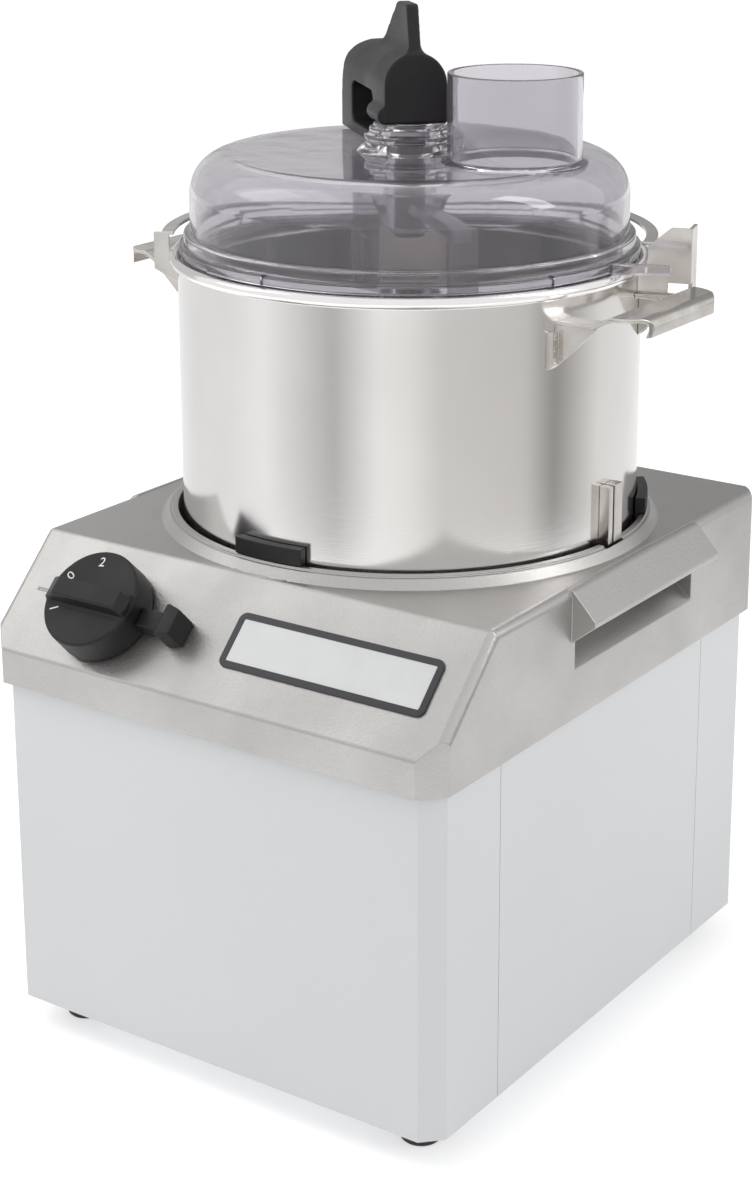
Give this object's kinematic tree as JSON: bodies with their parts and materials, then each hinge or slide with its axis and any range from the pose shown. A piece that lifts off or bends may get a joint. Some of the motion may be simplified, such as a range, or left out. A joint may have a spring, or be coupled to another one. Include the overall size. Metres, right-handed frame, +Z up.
{
  "type": "commercial food processor",
  "caption": "Bench food processor: lift-off steel bowl with a turning knife, clear lid with feed chute and hand-turned stirrer, on a motor base with a control dial.",
  "frame": {"origin": "on the bench, under the middle of the base", "axes": "+Z up; the sloping front face with the dial looks along -Y; +X is to the right seen from the front"},
  "size_m": [0.3298, 0.3517, 0.5433],
  "materials": {
    "cast_aluminium": "shot-blasted satin casting",
    "white_sheet": "smooth white enamel on sheet",
    "pan_sheet": "plain mill-finish sheet",
    "rubber": "matt moulded rubber",
    "screw_steel": "plated screws",
    "badge": "blank pale plate with a dark border",
    "black_plastic": "moulded black plastic, fine texture",
    "motor_paint": "grey motor enamel",
    "lamination": "stacked electrical sheet",
    "copper": "varnished copper winding",
    "bearing_steel": "ground bearing steel",
    "pale_plastic": "pale moulded plastic",
    "red_plastic": "red moulded plastic",
    "bowl_steel": "stainless sheet, fine round brushing",
    "strap_steel": "stainless strip, bead-blasted",
    "blade_steel": "ground and polished blade steel",
    "hub_plastic": "food-grade moulded plastic",
    "clear_lid": "clear polycarbonate with a faint violet tint",
    "silicone": "food-grade silicone"
  },
  "bodies": {
    "housing": {"top_casting": "cast_aluminium", "front_apron": "white_sheet", "rear_apron": "white_sheet", "left_side_panel": "white_sheet", "right_side_panel": "white_sheet", "base_pan": "pan_sheet", "feet": "rubber", "foot_screws": "screw_steel", "panel_screws": "screw_steel", "name_plate": "badge", "bowl_guides": "black_plastic", "motor_can": "motor_paint", "stator_core": "lamination", "stator_windings": "copper", "upper_end_bell": "cast_aluminium", "lower_end_bell": "cast_aluminium", "upper_bearing": "bearing_steel", "lower_bearing": "bearing_steel", "shaft_seal": "rubber", "motor_bolts": "screw_steel", "capacitor": "black_plastic", "relay": "pale_plastic", "terminal_block": "pale_plastic", "selector_switch": "black_plastic", "interlock_switch": "red_plastic", "cord_gland": "black_plastic"},
    "spindle": {"drive_shaft": "bearing_steel", "motor_rotor": "lamination", "cooling_fan": "black_plastic"},
    "dial": {"dial_knob": "black_plastic", "dial_lever": "black_plastic", "dial_shaft": "bearing_steel"},
    "bowl": {"bowl_shell": "bowl_steel", "centre_tube": "bowl_steel", "right_handle": "strap_steel", "left_handle": "strap_steel", "handle_gussets": "strap_steel", "lid_bracket": "strap_steel", "guard_bracket": "strap_steel", "rear_guard": "strap_steel", "locating_lugs": "strap_steel"},
    "knife": {"knife_hub": "hub_plastic", "lower_blade": "blade_steel", "upper_blade": "blade_steel", "knife_cap": "black_plastic"},
    "seal": {"lid_seal": "silicone"},
    "cover": {"lid_shell": "clear_lid", "feed_chute": "clear_lid", "hub_seal": "silicone"},
    "stirrer": {"stirrer_handle": "black_plastic", "stirrer_shaft": "bearing_steel", "scraper_arm": "black_plastic", "scraper_blades": "hub_plastic", "retaining_ring": "bearing_steel"}
  },
  "joints": [
    {"name": "spindle_spin", "type": "hinge", "parent": "housing", "child": "spindle", "pos_m": [0, 0.021, 0.15], "axis": [0, 0, 1], "continuous": true},
    {"name": "dial_turn", "type": "hinge", "parent": "housing", "child": "dial", "pos_m": [-0.0755, -0.14299, 0.24199], "axis": [0, -0.7036, 0.7106], "range_deg": [-40, 50]},
    {"name": "bowl_lift", "type": "slide", "parent": "housing", "child": "bowl", "axis": [0, 0, 1], "range_m": [0, 0.145]},
    {"name": "knife_spin", "type": "hinge", "parent": "bowl", "child": "knife", "pos_m": [0, 0.021, 0.3], "axis": [0, 0, 1], "continuous": true},
    {"name": "lid_lift", "type": "slide", "parent": "bowl", "child": "seal", "axis": [0, 0, 1], "range_m": [0, 0.18]},
    {"name": "lid_turn", "type": "hinge", "parent": "seal", "child": "cover", "pos_m": [0, 0.021, 0.42], "axis": [0, 0, 1], "range_deg": [-30, 0]},
    {"name": "stirrer_turn", "type": "hinge", "parent": "cover", "child": "stirrer", "pos_m": [0, 0.021, 0.47], "axis": [0, 0, 1], "range_deg": [-75, 150]}
  ],
  "couplings": [
    {"joint": "knife_spin", "follows": "spindle_spin", "ratio": 1}
  ]
}
